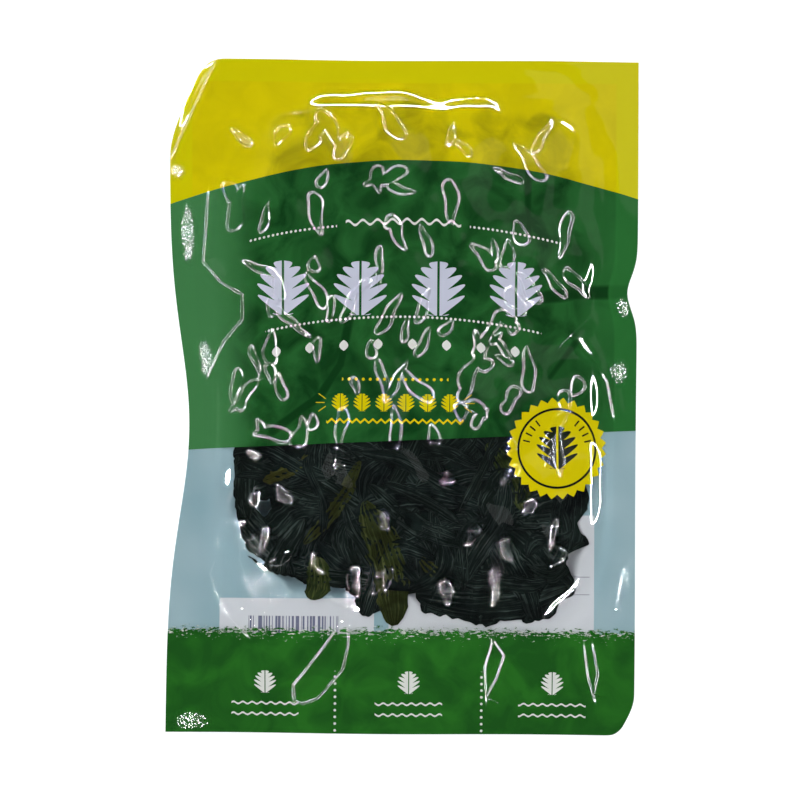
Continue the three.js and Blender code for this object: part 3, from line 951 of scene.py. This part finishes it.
# short strokes that spread from a point: one at every zero of the sine
def spokes(tree, radius, angle, beats, near, far, half):
    beat = put(tree, "Math:SINE", put(tree, "Math:MULTIPLY", angle, beats))
    off = put(tree, "Math:MULTIPLY", put(tree, "Math:ABSOLUTE", beat), radius)
    thin = put(tree, "Math:LESS_THAN", off, half * beats)
    return put(tree, "Math:MULTIPLY", thin, between(tree, radius, near, far))


def polar(tree, du, dv):
    radius = put(tree, "VectorMath:LENGTH", put(tree, "CombineXYZ", du, dv, 0.0)).outputs["Value"]
    return radius, put(tree, "Math:ARCTAN2", dv, du)


# ornaments in white: dotted arcs and dividers, waves, drops, and a frond over two lines in each column
def whiteMarks(tree, u, v):
    marks = []
    for height, bow, low, high in (layout["upperDots"], layout["lowerDots"]):
        row = dots(tree, u, arcOffset(tree, u, v, height, bow), layout["dotPitch"], layout["dot"])
        marks.append(put(tree, "Math:MULTIPLY", row, between(tree, put(tree, "Math:ABSOLUTE", u), low, high)))
    below = put(tree, "Math:LESS_THAN", v, layout["dividerTop"])
    for divider in layout["dividers"]:
        off = put(tree, "Math:SUBTRACT", u, divider)
        row = dots(tree, v, off, layout["dividerPitch"], layout["dividerDot"])
        marks.append(put(tree, "Math:MULTIPLY", row, below))
    height, bow, low, _ = layout["upperDots"]
    wave = waveLine(tree, u, arcOffset(tree, u, v, height + 0.6, bow), 0.8, 5.0, 0.42)
    marks.append(withinSpan(tree, wave, u, 0, low - 3))
    dropU = repeated(tree, u, layout["dropMiddle"] + layout["dropPitch"] / 2, layout["dropPitch"])
    dropV = arcOffset(tree, u, v, layout["dropV"], 0.0016)
    tall = put(tree, "Math:MULTIPLY", put(tree, "Math:MULTIPLY", dropV, dropV), 0.45)
    drop = put(tree, "Math:LESS_THAN", put(tree, "Math:ADD", put(tree, "Math:ABSOLUTE", dropU), tall), 1.5)
    marks.append(withinSpan(tree, drop, u, layout["dropMiddle"], layout["dropSpan"]))
    footU = repeated(tree, u, layout["footMiddle"], layout["footPitch"])
    footV = put(tree, "Math:SUBTRACT", v, layout["footV"])
    marks.append(frond(tree, footU, footV, layout["footHeight"]))
    for below in (7.3, 11.0):
        line = waveLine(tree, u, put(tree, "Math:ADD", footV, below), 0.35, 3.2, 0.3)
        marks.append(withinSpan(tree, line, footU, 0, 11.5))
    return anyOf(tree, marks)


# ornaments in yellow: a dotted line, a row of small fronds between short rays, and a zigzag under them
def yellowMarks(tree, u, v):
    middleU = layout["yellowMiddle"]
    half = layout["yellowFronds"] * layout["yellowPitch"] / 2
    off = put(tree, "Math:SUBTRACT", v, layout["yellowV"])
    dotRow = dots(tree, u, put(tree, "Math:SUBTRACT", off, 8.0), 2.4, 0.5)
    smallU = repeated(tree, u, middleU + layout["yellowPitch"] / 2, layout["yellowPitch"])
    small = frond(tree, smallU, off, layout["yellowHeight"])
    zigzag = put(tree, "Math:MULTIPLY_ADD", put(tree, "Math:PINGPONG", u, 1.4), 0.9, -0.6)
    line = put(tree, "Math:ABSOLUTE", put(tree, "Math:SUBTRACT", put(tree, "Math:ADD", off, 6.2), zigzag))
    side = put(tree, "Math:ABSOLUTE", put(tree, "Math:SUBTRACT", u, middleU))
    rayU = put(tree, "Math:SUBTRACT", side, half - 0.5)
    radius, angle = polar(tree, rayU, off)
    rays = spokes(tree, radius, angle, 5.1, 2.2, 5.2, 0.11)
    rays = put(tree, "Math:MULTIPLY", rays, between(tree, angle, -0.85, 0.85))
    return anyOf(tree, [
        withinSpan(tree, dotRow, u, middleU, 18),
        withinSpan(tree, small, u, middleU, half),
        withinSpan(tree, put(tree, "Math:LESS_THAN", line, 0.38), u, middleU, half + 1),
        rays,
    ])


def printedLaminate():
    material, tree = newMaterial("Printed clear laminate, glossy")
    cut = cutCoordinates(tree)
    flat = put(tree, "SeparateXYZ", cut)
    u, v = flat.outputs["X"], flat.outputs["Y"]
    touch = put(tree, "Attribute", attribute_name="touch", attribute_type="GEOMETRY").outputs["Fac"]
    crease = put(tree, "Attribute", attribute_name="crease", attribute_type="GEOMETRY").outputs["Fac"]
    blister = put(tree, "Attribute", attribute_name="blister", attribute_type="GEOMETRY").outputs["Fac"]
    knurled = put(tree, "Attribute", attribute_name="knurl", attribute_type="GEOMETRY").outputs["Fac"]
    foldSide = put(tree, "Attribute", attribute_name="foldSide", attribute_type="GEOMETRY").outputs["Fac"]
    foldHeight = put(tree, "Attribute", attribute_name="foldHeight", attribute_type="GEOMETRY").outputs["Fac"]
    mottle = put(tree, "TexNoise", named={"Vector": cut, "Scale": 1 / 13, "Detail": 4, "Distortion": 0.8})
    mottled = put(tree, "MapRange", mottle, 0.36, 0.64)
    touched = put(tree, "Math:MULTIPLY_ADD", touch, 0.75, 0.25)
    leafToneAndCreaseShade = put(tree, "Math:MULTIPLY", touched, put(tree, "Math:MULTIPLY_ADD", mottled, 0.85, 0.15))
    # painted shade: the print is darkened along the pack's creases
    leafToneAndCreaseShade = put(tree, "Math:MAXIMUM", leafToneAndCreaseShade, crease)
    rimU = put(tree, "Math:SUBTRACT", pouch["width"] / 2, put(tree, "Math:ABSOLUTE", u))
    rimV = put(tree, "Math:SUBTRACT", pouch["height"] / 2, put(tree, "Math:ABSOLUTE", v))
    rim = put(tree, "Math:MINIMUM", rimU, rimV)
    sealed = put(tree, "MapRange", rim, layout["seal"] - 0.4, layout["seal"] + 0.4, 1.0, 0.0)

    headOff = arcOffset(tree, u, v, *layout["headArc"])
    head = put(tree, "Math:GREATER_THAN", headOff, 0.0)
    windowHeight, windowRise = layout["windowLine"]
    windowTop = put(tree, "Math:MULTIPLY_ADD", u, windowRise, windowHeight)
    windowOff = put(tree, "Math:SUBTRACT", v, windowTop)
    upper = put(tree, "Math:GREATER_THAN", windowOff, 0.0)
    strokes = put(tree, "VectorMath:MULTIPLY", cut, (0.45, 0.9, 1))
    brush = put(tree, "TexNoise", named={"Vector": strokes, "Scale": 1.0, "Detail": 6, "Roughness": 0.72})
    torn = put(tree, "Math:MULTIPLY_ADD", brush, 13.0, layout["footLine"] - 6.5)
    fleckPlace = put(tree, "VectorMath:MULTIPLY", cut, (0.5, 1.5, 1))
    fleck = put(tree, "TexNoise", named={"Vector": fleckPlace, "Scale": 1.0, "Detail": 4, "Roughness": 0.7})
    depth = put(tree, "MapRange", put(tree, "Math:SUBTRACT", torn, v), 0.0, 7.0, 0.54, 0.8)
    solid = put(tree, "Math:LESS_THAN", fleck, depth)
    foot = put(tree, "Math:LESS_THAN", v, torn)
    bare = put(tree, "Math:MULTIPLY", foot, put(tree, "Math:SUBTRACT", 1.0, solid))

    green = put(tree, "Mix:RGBA", leafToneAndCreaseShade, hexColour(ink["green"]), hexColour(ink["greenTouchAndCreaseShade"]))
    green = put(tree, "Mix:RGBA", put(tree, "Math:MULTIPLY", sealed, 0.6), green, hexColour(ink["greenSeal"]))
    # painted sheen: the green is lightened towards the left edge
    leftSheen = put(tree, "MapRange", u, -50.0, -66.0, 0.0, 0.85)
    green = put(tree, "Mix:RGBA", leftSheen, green, hexColour(ink["greenPaintedSheen"]))
    footTone = put(tree, "Math:MULTIPLY", mottled, 0.55)
    footGreen = put(tree, "Mix:RGBA", footTone, hexColour(ink["greenFoot"]), hexColour(ink["greenTouchAndCreaseShade"]))
    yellow = put(tree, "Mix:RGBA", leafToneAndCreaseShade, hexColour(ink["yellow"]), hexColour(ink["yellowTouchAndCreaseShade"]))
    yellow = put(tree, "Mix:RGBA", sealed, yellow, hexColour(ink["yellowSeal"]))
    colour = put(tree, "Mix:RGBA", foot, green, footGreen)
    colour = put(tree, "Mix:RGBA", bare, colour, hexColour(ink["white"]))
    colour = put(tree, "Mix:RGBA", head, colour, yellow)

    # a row of lilac fronds, then the white and yellow ornaments
    titleU = repeated(tree, u, layout["titleMiddle"] + layout["titlePitch"] / 2, layout["titlePitch"])
    titleV = put(tree, "Math:SUBTRACT", v, layout["titleV"])
    title = frond(tree, titleU, titleV, layout["titleHeight"])
    title = withinSpan(tree, title, u, layout["titleMiddle"], layout["titleCount"] * layout["titlePitch"] / 2)
    colour = put(tree, "Mix:RGBA", title, colour, hexColour(ink["lilac"]))
    colour = put(tree, "Mix:RGBA", whiteMarks(tree, u, v), colour, hexColour(ink["white"]))
    colour = put(tree, "Mix:RGBA", yellowMarks(tree, u, v), colour, hexColour(ink["yellow"]))

    # badge: a sun-edged round in yellow with a dark ring, short rays and a frond
    badgeU = put(tree, "Math:SUBTRACT", u, layout["badge"][0])
    badgeV = put(tree, "Math:SUBTRACT", v, layout["badge"][1])
    radius, angle = polar(tree, badgeU, badgeV)
    turn = put(tree, "Math:MULTIPLY", angle, layout["badgePoints"] / math.pi)
    point = put(tree, "Math:PINGPONG", turn, 1.0)
    sunEdge = put(tree, "Math:MULTIPLY_ADD", point, layout["badgePoint"], layout["badgeRadius"])
    badge = put(tree, "Math:LESS_THAN", radius, sunEdge)
    ring = between(tree, radius, layout["ring"] - 0.4, layout["ring"] + 0.4)
    upward = put(tree, "Math:ARCTAN2", badgeV, put(tree, "Math:ABSOLUTE", badgeU))
    rays = spokes(tree, radius, angle, 14.0, 9.6, 12.0, 0.28)
    rays = put(tree, "Math:MULTIPLY", rays, between(tree, upward, 0.2, 0.95))
    darkMarks = anyOf(tree, [ring, rays, frond(tree, badgeU, badgeV, 15.0)])
    colour = put(tree, "Mix:RGBA", badge, colour, hexColour(ink["yellow"]))
    colour = put(tree, "Mix:RGBA", darkMarks, colour, hexColour(ink["dark"]))
    inked = anyOf(tree, [upper, foot, head, badge])

    # heights in mm: blister walls, seal knurl and the faint waviness of thin film
    wall = blisters["wall"] / 2
    eased = {"interpolation_type": "SMOOTHSTEP"}
    pinch = put(tree, "MapRange", blister, -wall, wall, 0.0, blisters["wallHeight"], **eased)
    grain = put(tree, "TexNoise", named={"Vector": cut, "Scale": 1 / 0.8, "Detail": 1})
    knurl = put(tree, "Math:MULTIPLY", put(tree, "Math:MULTIPLY", grain, knurled), 0.7)
    waves = put(tree, "TexNoise", named={"Vector": cut, "Scale": 1 / 4, "Detail": 2})
    half = fold["wall"] / 2
    folded = put(tree, "MapRange", foldSide, -half, half, **eased)
    folded = put(tree, "Math:MULTIPLY", folded, foldHeight)
    height = put(tree, "Math:MULTIPLY", waves, 0.015)
    for part in (pinch, knurl, folded):
        height = put(tree, "Math:ADD", height, part)
    bump = put(tree, "Bump", named={"Height": height, "Strength": 1.0, "Distance": mm})

    look = {"Base Color": colour, "Roughness": ink["roughness"], "IOR": 1.5, "Normal": bump}
    printed = put(tree, "BsdfPrincipled", named=look)
    seen = put(tree, "BsdfTransparent", named={"Color": colour})
    inkShader = put(tree, "MixShader", ink["cover"], seen, printed)
    clear = put(tree, "BsdfTransparent", named={"Color": (0.97, 0.98, 0.98, 1)})
    shine = {"Color": (1, 1, 1, 1), "Roughness": ink["roughness"], "Normal": bump}
    gloss = put(tree, "BsdfGlossy", named=shine)
    behind = put(tree, "NewGeometry").outputs["Backfacing"]
    bend = put(tree, "Math:MULTIPLY_ADD", behind, 1 / 1.5 - 1.5, 1.5)  # the same share from both sides
    window = put(tree, "MixShader", put(tree, "Fresnel", named={"IOR": bend, "Normal": bump}), clear, gloss)
    finishMaterial(tree, put(tree, "MixShader", inked, window, inkShader))
    return material


# Printed laminate of the back web: light blue ink with white label panels
def printedBack():
    material, tree = newMaterial("Printed laminate, light blue")
    cut = cutCoordinates(tree)
    flat = put(tree, "SeparateXYZ", cut)
    u, v = flat.outputs["X"], flat.outputs["Y"]
    shade = put(tree, "TexNoise", named={"Vector": cut, "Scale": 1 / 30, "Detail": 2})
    shaded = put(tree, "MapRange", shade, 0.35, 0.65)
    blue = put(tree, "Mix:RGBA", shaded, hexColour("#8dadb6"), hexColour("#9fbac2"))
    panels = None
    for low, high, bottom, top in ((-62, -9, -100, -69), (-4, 66, -100, -40)):
        panel = put(tree, "Math:MULTIPLY", between(tree, u, low, high), between(tree, v, bottom, top))
        panels = put(tree, "Math:MAXIMUM", panels, panel) if panels else panel
    colour = put(tree, "Mix:RGBA", panels, blue, hexColour("#d2d5da"))
    barPlace = put(tree, "CombineXYZ", u, 0.0, 0.0)
    barNoise = put(tree, "TexNoise", named={"Vector": barPlace, "Scale": 1.1, "Detail": 1})
    bars = put(tree, "Math:GREATER_THAN", barNoise, 0.5)
    barBlock = put(tree, "Math:MULTIPLY", between(tree, u, -52, -21), between(tree, v, -96, -75))
    colour = put(tree, "Mix:RGBA", put(tree, "Math:MULTIPLY", bars, barBlock), colour, hexColour("#6a6d86"))
    rules = None
    for line in (-61, -67):
        thin = between(tree, v, line - 0.15, line + 0.15)
        rule = put(tree, "Math:MULTIPLY", thin, between(tree, u, 30, 64.5))
        rules = put(tree, "Math:MAXIMUM", rules, rule) if rules else rule
    colour = put(tree, "Mix:RGBA", rules, colour, hexColour("#9a9ca8"))
    look = {"Base Color": colour, "Roughness": 0.3, "Specular IOR Level": 0.15}
    finishMaterial(tree, put(tree, "BsdfPrincipled", named=look))
    return material


# the third colour of each is the grey-green of the streaks: rib texture with painted sheen
darkWakame = wetWakame("Wet wakame, dark", "#080d0d", "#18221f", "#485450", "#101814")
paleWakame = wetWakame("Wet wakame, olive", "#161f0c", "#29341a", "#56602f", "#463f19")
frontLaminate = printedLaminate()
backLaminate = printedBack()

darkLaid, paleLaid = layWakame()
blades = bladePiece("wakameBlades", darkWakame, darkLaid)
heart = makeCore(darkWakame)
for piece in (blades, heart):
    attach(piece, "root")
    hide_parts("wakame_bunch")
pressed = [blades, heart]
for node, blade in paleLaid.items():
    first, second, third = node.split("_")
    paleBlade = bladePiece(first + second.title() + third.title(), paleWakame, [blade])
    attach(paleBlade, "root")
    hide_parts(node)
    pressed.append(paleBlade)
print("wakame laid")
backFilm = makeBackFilm(backLaminate)
frontFilm = makeFrontFilm(frontLaminate)
for piece in pressed:
    pressUnder(frontFilm, piece)
print("films drawn down")


# Stage: a lit white table, strip lights all round, and the camera straight above
studio = {
    "frameWidth": 272, "lens": 85, "aim": (-0.7, -1.0), "roll": 0.45, "level": 8,
    "lamps": 8, "lampRadiance": 480.0, "lampHeight": 0.032, "lampAway": 1.0, "lampElevation": 30,
    "veilRadiance": 0.35, "veilSize": 0.6, "veilPlace": (0.45, 0.35, 1.1),
    "table": 0.55, "glow": 0.55,
}
# softboxes that light the colours: place, size and radiance
softboxes = [((-0.9, 0.6, 1.1), 0.9, 5.4), ((0.9, 0.5, 1.1), 0.9, 2.8), ((0.0, -0.9, 1.2), 0.9, 2.8)]


def litTable():
    material, tree = newMaterial("White acrylic table, lit from below")
    grain = put(tree, "TexNoise", named={"Vector": put(tree, "TexCoord").outputs["Object"], "Scale": 3.0})
    faint = put(tree, "Math:MULTIPLY", grain, 0.04)
    colour = put(tree, "Mix:RGBA", faint, (studio["table"],) * 3 + (1,), (0.5, 0.5, 0.5, 1))
    glow = {"Emission Color": (1, 1, 1, 1), "Emission Strength": studio["glow"]}
    finishMaterial(tree, put(tree, "BsdfPrincipled", named={"Base Color": colour, "Roughness": 0.6, **glow}))
    return material


def addLight(name, place, size, radiance, inGloss, inColour):
    data = bpy.data.lights.new(name, "AREA")
    data.shape = "RECTANGLE"
    data.size, data.size_y = size
    data.energy = radiance * math.pi * size[0] * size[1]
    light = bpy.data.objects.new(name, data)
    light.location = place
    light.rotation_euler = (-Vector(place)).to_track_quat("-Z", "Y").to_euler()
    light.visible_camera = False
    light.visible_glossy = inGloss
    light.visible_diffuse = inColour
    scene.collection.objects.link(light)


bm = bmesh.new()
bmesh.ops.create_grid(bm, x_segments=1, y_segments=1, size=6)
table = newPiece("table", bm, litTable())
for k, (place, size, radiance) in enumerate(softboxes):
    addLight(f"softbox{k}", place, (size, size), radiance, False, True)
# a ring of thin lamps that only the glossy film shows
elevation = math.radians(studio["lampElevation"])
away = studio["lampAway"] * math.cos(elevation)
lampLength = 2 * away * math.tan(math.pi / studio["lamps"])
for k in range(studio["lamps"]):
    turn = 2 * math.pi * k / studio["lamps"]
    place = (away * math.cos(turn), away * math.sin(turn), studio["lampAway"] * math.sin(elevation))
    addLight(f"lamp{k}", place, (lampLength, studio["lampHeight"]), studio["lampRadiance"], True, False)
addLight("veil", studio["veilPlace"], (studio["veilSize"],) * 2, studio["veilRadiance"], True, True)
world = bpy.data.worlds.new("studio")
world.use_nodes = True
world.node_tree.nodes["Background"].inputs["Color"].default_value = (0.05, 0.05, 0.055, 1)
scene.world = world

cameraData = bpy.data.cameras.new("camera")
cameraData.lens = studio["lens"]
cameraData.sensor_width = 36
distance = studio["frameWidth"] * mm / 2 / (cameraData.sensor_width / 2 / cameraData.lens)
camera = bpy.data.objects.new("camera", cameraData)
camera.location = (studio["aim"][0] * mm, studio["aim"][1] * mm, distance + studio["level"] * mm)
camera.rotation_euler = (0, 0, math.radians(studio["roll"]))
scene.collection.objects.link(camera)
scene.camera = camera
scene.view_settings.view_transform = "Standard"
print("stage set")
